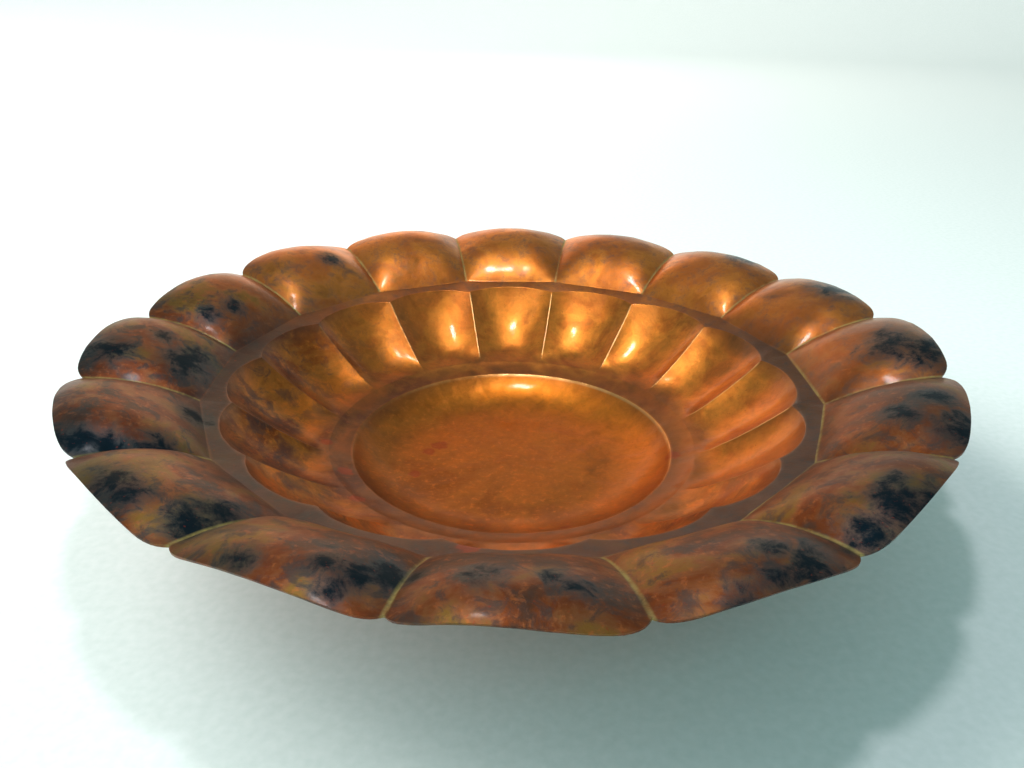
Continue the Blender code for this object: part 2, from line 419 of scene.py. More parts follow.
# %% Height: the notches, and the slow waver of the whole rim
later = add(t, "ShaderNodeMath", TIMES_PLUS, [across, 0.5, 0.5])
lift = add(t, "ShaderNodeMix", None, {0: later, 2: notches.outputs["X"], 3: notches.outputs["Y"]})
for wave_height, times, start in RIM_WAVES:
    phase = add(t, "ShaderNodeMath", TIMES_PLUS, [angle, float(times), start])
    wave = add(t, "ShaderNodeMath", {"operation": "COSINE"}, [phase])
    lift = add(t, "ShaderNodeMath", TIMES_PLUS, [wave, wave_height, lift])
outwards = add(t, "ShaderNodeMath", {"operation": "POWER"}, [lobe.outputs["Z"], 1.5])
height = add(t, "ShaderNodeMath", TIMES_PLUS, [lift, outwards, height])

# %% Move the grid's points there, and close the seam and the middle
sine = add(t, "ShaderNodeMath", {"operation": "SINE"}, [angle])
cosine = add(t, "ShaderNodeMath", {"operation": "COSINE"}, [angle])
x = add(t, "ShaderNodeMath", TIMES, [radius, sine])
y = add(t, "ShaderNodeMath", TIMES, [radius, cosine])
place = add(t, "ShaderNodeCombineXYZ", None, [x, y, height])
sheet = add(t, "GeometryNodeStoreNamedAttribute", {"data_type": "FLOAT", "domain": "POINT"}, {
    "Geometry": grid, "Name": "zone", "Value": zone})
sheet = add(t, "GeometryNodeStoreNamedAttribute", {"data_type": "FLOAT", "domain": "POINT"}, {
    "Geometry": sheet, "Name": "side", "Value": side})
sheet = add(t, "GeometryNodeSetPosition", None, {"Geometry": sheet, "Position": place})
sheet = add(t, "GeometryNodeMergeByDistance", None, {"Geometry": sheet, "Distance": 1e-6})
print(len(t.nodes), "nodes shape the sheet")

# %% [markdown]
# ### Hammer marks
#
# The last pass with the planishing hammer leaves overlapping shallow dishes, each
# about 8 mm wide and at most a few tenths of a millimetre deep, and older blows
# leave wider, softer dents. They could be bump in the material only, but then the
# edge of the rim would stay perfect. So the points themselves move along the
# normal: Voronoi cells give the dishes, a slow noise gives the dents.

# %% Hammer the sheet
position = add(t, "GeometryNodeInputPosition")
marks_per_metre = add(t, "ShaderNodeMath", {"operation": "DIVIDE"}, [1.0, given["Hammer mark width"]])
marks = add(t, "ShaderNodeTexVoronoi", {"feature": "SMOOTH_F1"}, {
    "Vector": position, "Scale": marks_per_metre, "Smoothness": 0.55})
dish = add(t, "ShaderNodeMath", TIMES, [marks, marks])
dish = add(t, "ShaderNodeMath", TIMES, [dish, given["Hammer mark depth"]])
dents_per_metre = add(t, "ShaderNodeMath", {"operation": "DIVIDE"}, [1.0, given["Dent width"]])
dents = add(t, "ShaderNodeTexNoise", None, {
    "Vector": position, "Scale": dents_per_metre, "Detail": 1.0, "Roughness": 0.4})
dent = add(t, "ShaderNodeMath", {"operation": "SUBTRACT"}, [dents, 0.5])
# The rim was hammered least evenly, and the well was turned smooth on a stake.
stored_zone = add(t, "GeometryNodeInputNamedAttribute", NUMBER, {"Name": "zone"})
loose = add(t, "ShaderNodeMapRange", SMOOTH, {
    "Value": stored_zone, 1: 0.5, 2: 4.6, 3: 0.25, 4: 1.0})
dent = add(t, "ShaderNodeMath", TIMES, [dent, loose])
push = add(t, "ShaderNodeMath", TIMES_PLUS, [dent, given["Dent depth"], dish])
normal = add(t, "GeometryNodeInputNormal")
offset = add(t, "ShaderNodeVectorMath", {"operation": "SCALE"}, {"Vector": normal, "Scale": push})
sheet = add(t, "GeometryNodeSetPosition", None, {"Geometry": sheet, "Offset": offset})

# %% Mark how near each point is to a stain, and to a red spot
for spot_cloud, label in (("Stain spots", "stain"), ("Rouge spots", "rouge")):
    spot_info = add(t, "GeometryNodeObjectInfo", None, [given[spot_cloud]])
    nearest = add(t, "GeometryNodeSampleNearest", None, {"Geometry": spot_info.outputs["Geometry"]})
    spot_place = add(t, "GeometryNodeSampleIndex", {"data_type": "FLOAT_VECTOR"}, {
        "Geometry": spot_info.outputs["Geometry"], "Value": position, "Index": nearest})
    spot_width = lookup(spot_cloud, "width", nearest, "FLOAT")
    away = add(t, "ShaderNodeVectorMath", {"operation": "DISTANCE"}, [position, spot_place])
    widths_away = add(t, "ShaderNodeMath", {"operation": "DIVIDE"}, [away.outputs["Value"], spot_width])
    nearness = add(t, "ShaderNodeMath", {"operation": "SUBTRACT", "use_clamp": True}, [1.0, widths_away])
    sheet = add(t, "GeometryNodeStoreNamedAttribute", {"data_type": "FLOAT", "domain": "POINT"}, {
        "Geometry": sheet, "Name": label, "Value": nearness})

# %% [markdown]
# ### Thickness
#
# A Solidify modifier would push the underside along the normal, and fold it over
# itself under the sharp ridges. Here the underside is the upper side let down
# straight, a little further where the sheet is steep, so that the metal is the
# same thickness all over. Only near the rim does it go along the normal, because
# a cut edge is square to the sheet.

# %% Let the underside down
sheet = add(t, "GeometryNodeSetShadeSmooth", None, {"Geometry": sheet})
tilt = add(t, "ShaderNodeSeparateXYZ", None, [normal])
flat_enough = add(t, "ShaderNodeMath", {"operation": "MAXIMUM"}, [tilt.outputs["Z"], 0.4])
drop = add(t, "ShaderNodeMath", {"operation": "DIVIDE"}, [given["Sheet thickness"], flat_enough])
drop = add(t, "GeometryNodeBlurAttribute", NUMBER, {"Value": drop, "Iterations": 3})
down = add(t, "ShaderNodeVectorMath", {"operation": "SCALE"}, {"Vector": (0.0, 0.0, -1.0), "Scale": drop})
inwards = add(t, "ShaderNodeMath", TIMES, [given["Sheet thickness"], -1.0])
square_in = add(t, "ShaderNodeVectorMath", {"operation": "SCALE"}, {"Vector": normal, "Scale": inwards})
at_rim = add(t, "ShaderNodeMapRange", SMOOTH, [stored_zone, 4.6, 5.0])
through = add(t, "ShaderNodeMix", {"data_type": "VECTOR"}, {0: at_rim, 4: down, 5: square_in})
lower = add(t, "GeometryNodeExtrudeMesh", {"mode": "FACES"}, {
    "Mesh": sheet, "Offset": through.outputs[1], "Offset Scale": 1.0, "Individual": False})
lower_side = add(t, "GeometryNodeStoreNamedAttribute", {"data_type": "FLOAT", "domain": "FACE"}, {
    "Geometry": lower.outputs["Mesh"], "Name": "wall", "Value": lower.outputs["Side"]})
lower_side = add(t, "GeometryNodeStoreNamedAttribute", {"data_type": "FLOAT", "domain": "FACE"}, {
    "Geometry": lower_side, "Name": "under", "Value": lower.outputs["Top"]})
lower_side = add(t, "GeometryNodeFlipFaces", None, {"Mesh": lower_side})
whole = add(t, "GeometryNodeJoinGeometry")
for half in (lower_side, sheet):
    t.links.new(half.outputs[0], whole.inputs[0])
whole = add(t, "GeometryNodeMergeByDistance", None, {"Geometry": whole, "Distance": 1e-6})

# %% Mark the two edges of the rim, where a wall face meets another face
wall = add(t, "GeometryNodeInputNamedAttribute", NUMBER, {"Name": "wall"})
wall_share = add(t, "GeometryNodeFieldOnDomain", {"data_type": "FLOAT", "domain": "EDGE"}, [wall])
rim_edge = add(t, "ShaderNodeMath", {"operation": "COMPARE"}, [wall_share, 0.5, 0.1])
whole = add(t, "GeometryNodeStoreNamedAttribute", {"data_type": "FLOAT", "domain": "EDGE"}, {
    "Geometry": whole, "Name": "bevel_weight_edge", "Value": rim_edge})

# %% End the tree
whole = add(t, "GeometryNodeRealizeInstances", None, [whole])
whole = add(t, "GeometryNodeSetMaterial", None, {"Geometry": whole, "Material": given["Material"]})
add(t, "NodeGroupOutput", None, [whole])
print(len(t.nodes), "nodes in all")

# %% [markdown]
# ## Turn a tree into a plain mesh
#
# A tree's result lives only inside its modifier. This function runs a tree once
# on an empty object, keeps the evaluated mesh, and removes the object and its
# modifier, so that what is left is a plain mesh that can be exported.

# %% Run a tree


def run_tree(name, tree, inputs):
    """A new object whose mesh is what the tree makes of these inputs."""
    host = bpy.data.objects.new(name + "_host", bpy.data.meshes.new(name + "_host"))
    bpy.context.collection.objects.link(host)
    modifier = host.modifiers.new("tree", "NODES")
    modifier.node_group = tree
    for item in tree.interface.items_tree:
        if item.in_out == "INPUT":
            modifier[item.identifier] = inputs[item.name]
    depsgraph = bpy.context.evaluated_depsgraph_get()
    mesh = bpy.data.meshes.new_from_object(host.evaluated_get(depsgraph))
    bpy.data.objects.remove(host)
    piece = bpy.data.objects.new(name, mesh)
    bpy.context.collection.objects.link(piece)
    print(name, "has", len(mesh.vertices), "points and", len(mesh.polygons), "faces")
    return piece


aged_copper = bpy.data.materials.new("aged_planished_copper")
bowl = run_tree("hammered_bowl", sheet_tree, {
    "Profile rows": profile, "Petal tally": tally, "Stain spots": spots, "Rouge spots": rouge,
    "Petals": PETALS, "Sheet thickness": SHEET, "Columns per petal": 28, "Rows": len(rows),
    "Hammer mark width": 8 * MM, "Hammer mark depth": 0.40 * MM,
    "Dent width": 45 * MM, "Dent depth": 1.0 * MM,
    "Material": aged_copper,
})
for template in (profile, tally, spots, rouge):
    bpy.data.objects.remove(template)

# %% [markdown]
# ### A filed rim
#
# The tree leaves two square edges round the rim and gives them a bevel weight. A
# Bevel modifier rounds just those, as a file and a burnisher do.

# %% Round the rim
filed = bowl.modifiers.new("filed_rim", "BEVEL")
filed.limit_method = "WEIGHT"
filed.width = 0.35 * MM
filed.segments = 2
up = sum(face.normal.z > 0 for face in bowl.data.polygons)
print(up, "of", len(bowl.data.polygons), "faces look up")
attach(bowl, "root")
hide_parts("bowl_shell")

# %% [markdown]
# ## The foot and its solder
#
# The foot is a strip 1.6 mm thick, cut, scarfed at its ends, bent to a ring, and
# splayed a little so that it stands firmly. Soft solder, run into the corner
# inside it, holds it under the bowl. Both are one cross-section carried round a
# circle, so one tree makes both. A slow noise keeps them from being machine true.

# %% A tree that carries a section round a circle
ring_tree, given = new_tree("section_round_a_circle", [
    ("Section", "NodeSocketObject"), ("Section points", "NodeSocketInt"),
    ("Sides", "NodeSocketInt"), ("Waver", "NodeSocketFloat"),
    ("Waver width", "NodeSocketFloat"), ("Material", "NodeSocketMaterial"),
])
t = ring_tree
columns = add(t, "ShaderNodeMath", {"operation": "ADD"}, [given["Sides"], 1.0])
grid = add(t, "GeometryNodeMeshGrid", None, [1.0, 1.0, columns, given["Section points"]])
index = add(t, "GeometryNodeInputIndex")
column = add(t, "FunctionNodeIntegerMath", {"operation": "DIVIDE_FLOOR"}, [index, given["Section points"]])
row = add(t, "FunctionNodeIntegerMath", {"operation": "MODULO"}, [index, given["Section points"]])
round_share = add(t, "ShaderNodeMath", {"operation": "DIVIDE"}, [column, given["Sides"]])
angle = add(t, "ShaderNodeMath", TIMES, [round_share, math.tau])
corner = add(t, "ShaderNodeSeparateXYZ", None, [lookup("Section", "corner", row)])
sine = add(t, "ShaderNodeMath", {"operation": "SINE"}, [angle])
cosine = add(t, "ShaderNodeMath", {"operation": "COSINE"}, [angle])
x = add(t, "ShaderNodeMath", TIMES, [corner.outputs["X"], sine])
y = add(t, "ShaderNodeMath", TIMES, [corner.outputs["X"], cosine])
place = add(t, "ShaderNodeCombineXYZ", None, [x, y, corner.outputs["Z"]])
ring = add(t, "GeometryNodeSetPosition", None, {"Geometry": grid, "Position": place})
ring = add(t, "GeometryNodeMergeByDistance", None, {"Geometry": ring, "Distance": 1e-6})
position = add(t, "GeometryNodeInputPosition")
wavers_per_metre = add(t, "ShaderNodeMath", {"operation": "DIVIDE"}, [1.0, given["Waver width"]])
waver = add(t, "ShaderNodeTexNoise", None, {
    "Vector": position, "Scale": wavers_per_metre, "Detail": 1.0})
centred = add(t, "ShaderNodeVectorMath", {"operation": "SUBTRACT"}, [
    waver.outputs["Color"], (0.5, 0.5, 0.5)])
level = add(t, "ShaderNodeVectorMath", TIMES, [centred, (1.0, 1.0, 0.0)])
offset = add(t, "ShaderNodeVectorMath", {"operation": "SCALE"}, {"Vector": level, "Scale": given["Waver"]})
ring = add(t, "GeometryNodeSetPosition", None, {"Geometry": ring, "Offset": offset})
ring = add(t, "GeometryNodeSetShadeSmooth", None, {"Geometry": ring})
ring = add(t, "GeometryNodeRealizeInstances", None, [ring])
ring = add(t, "GeometryNodeSetMaterial", None, {"Geometry": ring, "Material": given["Material"]})
add(t, "NodeGroupOutput", None, [ring])
print(len(t.nodes), "nodes")

# %% The foot's cross-section, with eased corners
GAP = 0.0003
FOOT_RADIUS = 0.0880
FOOT_SPLAY = 0.0022
FOOT_THICKNESS = 0.0016
FILLET_LEG = 0.0024
FOOT_SIDES = 240  # flat sides round the foot and its solder


def band_underside(radius):
    """Height of the sheet's lower side under the plain band."""
    slope = (BAND_EDGE[1] - WELL_EDGE[1]) / (BAND_EDGE[0] - WELL_EDGE[0])
    return WELL_EDGE[1] + slope * (radius - WELL_EDGE[0]) - SHEET * math.hypot(1.0, slope)


def eased_section(corners, ease, steps):
    """A closed section whose corners are cut by short arcs, with points along its sides."""
    places = []
    for i, (r, h) in enumerate(corners):
        corner = Vector((r, h))
        before, after = Vector(corners[i - 1]), Vector(corners[(i + 1) % len(corners)])
        start = corner + (before - corner).normalized() * ease
        end = corner + (after - corner).normalized() * ease
        for share in (0.0, 0.33, 0.67, 1.0):
            places.append(start.lerp(corner, share).lerp(corner.lerp(end, share), share))
        last = after + (corner - after).normalized() * ease
        places += [end.lerp(last, j / steps) for j in range(1, steps)]
    return [tuple(p) for p in places + places[:1]]


def ring_piece(name, section, sides, waver, waver_width, material):
    """A section carried once round the axis."""
    cloud = points(
        name + "_section", [(0, 0, 0)] * len(section), corner=[(r, 0.0, h) for r, h in section]
    )
    piece = run_tree(name, ring_tree, {
        "Section": cloud, "Section points": len(section), "Sides": sides,
        "Waver": waver, "Waver width": waver_width, "Material": material})
    bpy.data.objects.remove(cloud)
    return piece


# %% The foot
inner, outer = FOOT_RADIUS - FOOT_THICKNESS / 2, FOOT_RADIUS + FOOT_THICKNESS / 2
strip = eased_section([
    (inner, band_underside(inner) - GAP), (outer, band_underside(outer) - GAP),
    (outer + FOOT_SPLAY, 0.0), (inner + FOOT_SPLAY, 0.0),
], 0.4 * MM, 5)
foot_copper = bpy.data.materials.new("hammered_copper_strip")
foot = ring_piece("foot_strip", strip, FOOT_SIDES, 0.5 * MM, 14 * MM, foot_copper)
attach(foot, "root")
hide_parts("foot_ring")

# %% The solder
corner = inner - GAP
top = band_underside(corner) - GAP
arc = [(corner - FILLET_LEG * (1 - math.cos(a)), top - FILLET_LEG * (1 - math.sin(a)))
       for a in (math.pi / 2 * i / 5 for i in range(6))]
bead = [(corner, top)] + arc + [(corner, top)]
tin_solder = bpy.data.materials.new("wiped_tin_solder")
solder = ring_piece("solder_bead", bead, FOOT_SIDES, 0.25 * MM, 7 * MM, tin_solder)
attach(solder, "root")
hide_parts("solder_fillet")

# %% [markdown]
# ## Copper that was planished, used and never polished again
#
# New copper is salmon pink. In air it grows a film of red-brown oxide, then
# purple and brown, and in places a blue-black bloom where heat or acid reached
# it. The film is thin, so the metal still shines through it: the surface stays
# metallic, and the film only changes its colour and dulls it a little. That is
# why the whole finish is one metallic shader whose colour is built in layers:
# warm copper in soft clouds, brown and purple oxide over it, dark blooms and red
# spots where the notes put them, pale polish residue that no cloth could reach
# in the grooves, and edges that are rubbed bright and also carry a painted glint.
# Light is painted in too: the far side is painted brighter and the near and left
# sides darker, partly real oxide and partly painted shade. Old wax lies over it
# all, and most of it is gone from the aged side.

# %% Sizes and colours of the aged copper
CLOUD = 30 * MM  # a cloud of warmer or browner copper
MOTTLE = 11 * MM  # the ragged edge of an oxide patch
FLECK = 3.5 * MM  # small flecks of warm metal rubbed through the brown
SPECK = 1.5 * MM  # red and dark specks
GRAIN = 0.5 * MM  # fine grain, drawn coarser than the real 0.1 mm so that it shows
BRIGHT = colour("#f09236")
SCOURED_AND_LIT = colour("#fa8a10")
FAWN = colour("#a4601e")
WARM = colour("#d8782c")
TAWNY = colour("#b36c2c")
OLIVE = colour("#97732f")
UMBER = colour("#623e2a")
RUST = colour("#8c4519")
CHESTNUT = colour("#9c6238")
PLUM = colour("#3a3436")
SLATE = colour("#39464a")
INK = colour("#0f212b")
CUPRITE = colour("#983a22")
RUBBED_AND_GLINT = colour("#f6bd7a")
RESIDUE = colour("#b5a86c")
print("clouds", CLOUD / MM, "mm, mottle", MOTTLE / MM, "mm, specks", SPECK / MM, "mm")

# %% Start the copper: where we are on the bowl


def start_material(material):
    """Clears a material's tree. Gives the tree, its coordinates and its output."""
    material.use_nodes = True
    tree = material.node_tree
    tree.nodes.clear()
    place = tree.nodes.new("ShaderNodeTexCoord").outputs["Object"]
    return tree, place, tree.nodes.new("ShaderNodeOutputMaterial")


t, place, surface = start_material(aged_copper)
zone = add(t, "ShaderNodeAttribute", {"attribute_name": "zone"}).outputs["Fac"]
side = add(t, "ShaderNodeAttribute", {"attribute_name": "side"}).outputs["Fac"]
stain = add(t, "ShaderNodeAttribute", {"attribute_name": "stain"}).outputs["Fac"]
rim = add(t, "ShaderNodeMapRange", SMOOTH, [zone, 3.0, 3.2])
cloud = add(t, "ShaderNodeTexNoise", None, {
    "Vector": place, "Scale": 1 / CLOUD, "Detail": 6.0, "Roughness": 0.6, "Distortion": 0.5})
mottle = add(t, "ShaderNodeTexNoise", None, {
    "Vector": place, "Scale": 1 / MOTTLE, "Detail": 8.0, "Roughness": 0.68, "Distortion": 0.6})
fleck = add(t, "ShaderNodeTexNoise", None, {
    "Vector": place, "Scale": 1 / FLECK, "Detail": 5.0, "Roughness": 0.7, "Distortion": 0.3})
speck = add(t, "ShaderNodeTexNoise", None, {
    "Vector": place, "Scale": 1 / SPECK, "Detail": 3.0, "Roughness": 0.6})
print(len(t.nodes), "nodes")

# %% Age and painted light: the far side and the right inside are painted bright, where the copper shows the lit room, and the near and left sides are painted browner, partly real oxide and partly painted shade
axes = add(t, "ShaderNodeSeparateXYZ", None, [place])
leftwards = add(t, "ShaderNodeMapRange", None, [rim, 0.0, 1.0, -0.5, -0.3])
age_and_painted_light = add(t, "ShaderNodeMath", TIMES, [axes.outputs["X"], leftwards])
age_and_painted_light = add(t, "ShaderNodeMath", {"operation": "SUBTRACT"}, [age_and_painted_light, axes.outputs["Y"]])
right_side = add(t, "ShaderNodeMath", {"operation": "MAXIMUM"}, [axes.outputs["X"], 0.0])
painted_light_right_inside = add(t, "ShaderNodeMapRange", None, [rim, 0.0, 1.0, -0.45, 0.0])
age_and_painted_light = add(t, "ShaderNodeMath", TIMES_PLUS, [right_side, painted_light_right_inside, age_and_painted_light])
wander = add(t, "ShaderNodeMath", TIMES_PLUS, [cloud, 0.16, -0.08])
age_and_painted_light = add(t, "ShaderNodeMath", {"operation": "ADD"}, [age_and_painted_light, wander])
age_and_painted_light = add(t, "ShaderNodeMapRange", SMOOTH, [age_and_painted_light, -0.15, 0.04])
print(len(t.nodes), "nodes with the age")

# %% Warm copper inside, browner copper on the rim
# Painted light: the fresh tone goes where the copper is painted bright, the aged tone where it is painted
# darker.
fresh_and_lit_tone = add(t, "ShaderNodeValToRGB", None, [cloud], ramp=[
    (0.30, TAWNY), (0.42, WARM), (0.56, BRIGHT), (0.64, WARM), (0.74, TAWNY)])
inside = add(t, "ShaderNodeValToRGB", None, [cloud], ramp=[
    (0.30, UMBER), (0.40, RUST), (0.50, TAWNY), (0.60, WARM), (0.70, TAWNY)])
outside = add(t, "ShaderNodeValToRGB", None, [cloud], ramp=[
    (0.30, PLUM), (0.40, UMBER), (0.47, RUST), (0.54, CHESTNUT), (0.62, OLIVE), (0.74, UMBER)])
aged_and_shaded_tone = add(t, "ShaderNodeMix", RGBA, {
    0: rim, 6: inside.outputs["Color"], 7: outside.outputs["Color"]})
tone = add(t, "ShaderNodeMix", RGBA, {0: age_and_painted_light, 6: fresh_and_lit_tone.outputs["Color"], 7: aged_and_shaded_tone.outputs[2]})
in_well = add(t, "ShaderNodeMapRange", SMOOTH, [zone, 1.05, 0.95, 0.0, 0.6])
# Painted reflection: the well is painted bright on its far side and darker on its near side, partly real
# oxide.
well_tone = add(t, "ShaderNodeMix", RGBA, {0: age_and_painted_light, 6: SCOURED_AND_LIT, 7: FAWN})
tone = add(t, "ShaderNodeMix", RGBA, {0: in_well, 6: tone.outputs[2], 7: well_tone.outputs[2]})

# %% Flecks of warm metal where the brown is rubbed through
rubbed = add(t, "ShaderNodeMapRange", SMOOTH, [fleck, 0.52, 0.68, 0.0, 0.55])
tone = add(t, "ShaderNodeMix", RGBA, {0: rubbed, 6: tone.outputs[2], 7: WARM})

# %% Blotches: the tone is never even over more than a few millimetres
blotch = add(t, "ShaderNodeMath", TIMES_PLUS, [fleck, 0.5, mottle])
blotch = add(t, "ShaderNodeMapRange", None, [blotch, 0.5, 1.0, 0.72, 1.2])
blotch = add(t, "ShaderNodeCombineColor", None, [blotch, blotch, blotch])
tone = add(t, "ShaderNodeMix", {"data_type": "RGBA", "blend_type": "MULTIPLY"}, {
    0: 1.0, 6: tone.outputs[2], 7: blotch})

# %% Oxide: plum and umber patches, most of them on the band, the shoulder and the rim, painted heavier on the near side as painted shade
where = add(t, "ShaderNodeMath", {"operation": "DIVIDE"}, [zone, 5.0])
settled = add(t, "ShaderNodeValToRGB", None, [where], ramp=[
    (0.10, 0.05), (0.18, 0.1), (0.22, 0.75), (0.40, 0.55), (0.45, 0.05),
    (0.57, 0.1), (0.61, 0.9), (0.78, 0.9), (0.84, 0.3)])
# Painted shade: the oxide is painted stronger on the near side and weaker at the back.
near_side_painted_shade = add(t, "ShaderNodeMapRange", None, [axes.outputs["Y"], 0.13, 0.04, 0.25, 1.0])
settled = add(t, "ShaderNodeMath", TIMES, [settled.outputs["Color"], near_side_painted_shade])
oxide = add(t, "ShaderNodeMapRange", SMOOTH, [mottle, 0.44, 0.62])
oxide = add(t, "ShaderNodeMath", TIMES, [oxide, age_and_painted_light])
outward = add(t, "ShaderNodeMapRange", SMOOTH, [zone, 0.8, 3.2, 0.1, 0.75])
oxide = add(t, "ShaderNodeMath", TIMES, [oxide, outward])
oxide = add(t, "ShaderNodeMath", {"operation": "MAXIMUM"}, [oxide, settled])
to_right = add(t, "ShaderNodeMapRange", None, [axes.outputs["X"], -0.15, 0.08, -0.5, 0.5])
warmth = add(t, "ShaderNodeMath", {"operation": "ADD", "use_clamp": True}, [to_right, cloud])
plum = add(t, "ShaderNodeMix", RGBA, {0: warmth, 6: PLUM, 7: UMBER})
tone = add(t, "ShaderNodeMix", RGBA, {0: oxide, 6: tone.outputs[2], 7: plum.outputs[2]})

# %% Blooms: slate haloes and ink-blue hearts, where the notes put them
ragged = add(t, "ShaderNodeMath", TIMES_PLUS, [mottle, 1.9, -0.95])
bloom = add(t, "ShaderNodeMath", {"operation": "ADD"}, [stain, ragged])
fine = add(t, "ShaderNodeMath", TIMES_PLUS, [fleck, 1.0, -0.5])
bloom = add(t, "ShaderNodeMath", {"operation": "ADD"}, [bloom, fine])
halo = add(t, "ShaderNodeMapRange", SMOOTH, [bloom, -0.2, 0.6, 0.0, 0.7])
heart = add(t, "ShaderNodeMapRange", SMOOTH, [bloom, 0.35, 0.9])
on_rim = add(t, "ShaderNodeMath", TIMES, [halo, rim])
tone = add(t, "ShaderNodeMix", RGBA, {0: on_rim, 6: tone.outputs[2], 7: SLATE})
tone = add(t, "ShaderNodeMix", RGBA, {0: heart, 6: tone.outputs[2], 7: INK})

# %% Red specks and spots
red = add(t, "ShaderNodeMapRange", SMOOTH, [speck, 0.64, 0.72, 0.0, 0.4])
tone = add(t, "ShaderNodeMix", RGBA, {0: red, 6: tone.outputs[2], 7: CUPRITE})
rouge = add(t, "ShaderNodeAttribute", {"attribute_name": "rouge"}).outputs["Fac"]
rouge = add(t, "ShaderNodeMath", TIMES_PLUS, [fleck, 0.9, rouge])
rouge = add(t, "ShaderNodeMapRange", SMOOTH, [rouge, 0.85, 1.05, 0.0, 0.6])
tone = add(t, "ShaderNodeMix", RGBA, {0: rouge, 6: tone.outputs[2], 7: CUPRITE})

# %% Residue in the grooves, and near the right in the creases round the shoulder
in_groove = add(t, "ShaderNodeMapRange", SMOOTH, [side, 0.962, 0.990])
on_petal = add(t, "ShaderNodeMapRange", SMOOTH, [zone, 3.96, 4.03])
residue = add(t, "ShaderNodeMath", TIMES, [in_groove, on_petal])
near_right = add(t, "ShaderNodeVectorMath", {"operation": "DOT_PRODUCT"}, [place, (0.8, -0.6, 0.0)])
near_right = add(t, "ShaderNodeMapRange", SMOOTH, {
    "Value": near_right.outputs["Value"], "From Min": 0.09, "From Max": 0.13})
from_crease = add(t, "ShaderNodeMath", {"operation": "SUBTRACT"}, [zone, 4.0])
from_crease = add(t, "ShaderNodeMath", {"operation": "ABSOLUTE"}, [from_crease])
in_crease = add(t, "ShaderNodeMapRange", SMOOTH, [from_crease, 0.022, 0.006])
in_crease = add(t, "ShaderNodeMath", TIMES, [in_crease, near_right])
residue = add(t, "ShaderNodeMath", {"operation": "MAXIMUM"}, [residue, in_crease])
broken = add(t, "ShaderNodeMapRange", None, [fleck, 0.35, 0.6, 0.3, 0.85])
residue = add(t, "ShaderNodeMath", TIMES, [residue, broken])
kept = add(t, "ShaderNodeMapRange", SMOOTH, [cloud, 0.36, 0.54, 0.35, 1.0])
residue = add(t, "ShaderNodeMath", TIMES, [residue, kept])
tone = add(t, "ShaderNodeMix", RGBA, {0: residue, 6: tone.outputs[2], 7: RESIDUE})

# %% Worn edges and painted glints: the well's rim and the ridges between flutes are painted bright, partly rubbed metal and partly a painted highlight, strongest on the far side
from_edge = add(t, "ShaderNodeMath", {"operation": "SUBTRACT"}, [zone, 1.0])
from_edge = add(t, "ShaderNodeMath", {"operation": "ABSOLUTE"}, [from_edge])
edges = add(t, "ShaderNodeMapRange", SMOOTH, [from_edge, 0.02, 0.005])
on_ridge = add(t, "ShaderNodeMapRange", SMOOTH, [side, 0.97, 0.995])
low = add(t, "ShaderNodeMapRange", SMOOTH, [zone, 2.05, 2.2])
high = add(t, "ShaderNodeMapRange", SMOOTH, [zone, 3.0, 2.95])
on_wall = add(t, "ShaderNodeMath", TIMES, [low, high])
ridge = add(t, "ShaderNodeMath", TIMES, [on_ridge, on_wall])
wear_and_painted_glint = add(t, "ShaderNodeMath", {"operation": "MAXIMUM"}, [edges, ridge])
# Painted highlight: the bright edges fade towards the near side, where the painted light is weaker.
painted_glint_strength = add(t, "ShaderNodeMapRange", None, [age_and_painted_light, 0.0, 0.7, 0.7, 0.05])
wear_and_painted_glint = add(t, "ShaderNodeMath", TIMES, [wear_and_painted_glint, painted_glint_strength])
tone = add(t, "ShaderNodeMix", RGBA, {0: wear_and_painted_glint, 6: tone.outputs[2], 7: RUBBED_AND_GLINT})

# %% Gloss and grain: oxide and blooms are duller than the rubbed metal
dull = add(t, "ShaderNodeMapRange", None, [mottle, 0.3, 0.7, 0.34, 0.46])
dull = add(t, "ShaderNodeMath", TIMES_PLUS, [heart, 0.12, dull])
aged_rim = add(t, "ShaderNodeMath", TIMES, [age_and_painted_light, rim])
dull = add(t, "ShaderNodeMath", TIMES_PLUS, [aged_rim, 0.1, dull])
dull = add(t, "ShaderNodeMath", TIMES_PLUS, [wear_and_painted_glint, -0.1, dull])
dull = add(t, "ShaderNodeMath", TIMES_PLUS, [residue, 0.3, dull])
grain = add(t, "ShaderNodeTexNoise", None, {
    "Vector": place, "Scale": 1 / GRAIN, "Detail": 4.0, "Roughness": 0.65})
relief = add(t, "ShaderNodeMath", TIMES_PLUS, [speck, 1.5, grain])
relief = add(t, "ShaderNodeMath", TIMES_PLUS, [fleck, 3.0, relief])
bump = add(t, "ShaderNodeBump", None, {"Height": relief, "Strength": 0.6, "Distance": 0.06 * MM})
# Old wax lies over the metal and gives the whiter, sharper glints. The aged side has lost most of it.
waxed = add(t, "ShaderNodeMapRange", None, [age_and_painted_light, 0.0, 1.0, 0.35, 0.06])
metal = add(t, "ShaderNodeBsdfPrincipled", None, {
    "Base Color": tone.outputs[2], "Metallic": 1.0, "Roughness": dull, "Normal": bump,
    "Coat Weight": waxed, "Coat Roughness": 0.12})
t.links.new(metal.outputs["BSDF"], surface.inputs["Surface"])
print(aged_copper.name, "has", len(t.nodes), "nodes")

# %% [markdown]
# ### The foot's copper and the solder
#
# The foot was hammered from strip and handled less, so it is an even, duller
# brown with small flat marks. Tin solder goes from silver to a soft grey, and was
# wiped while it was hot, which leaves it smeared along the corner.

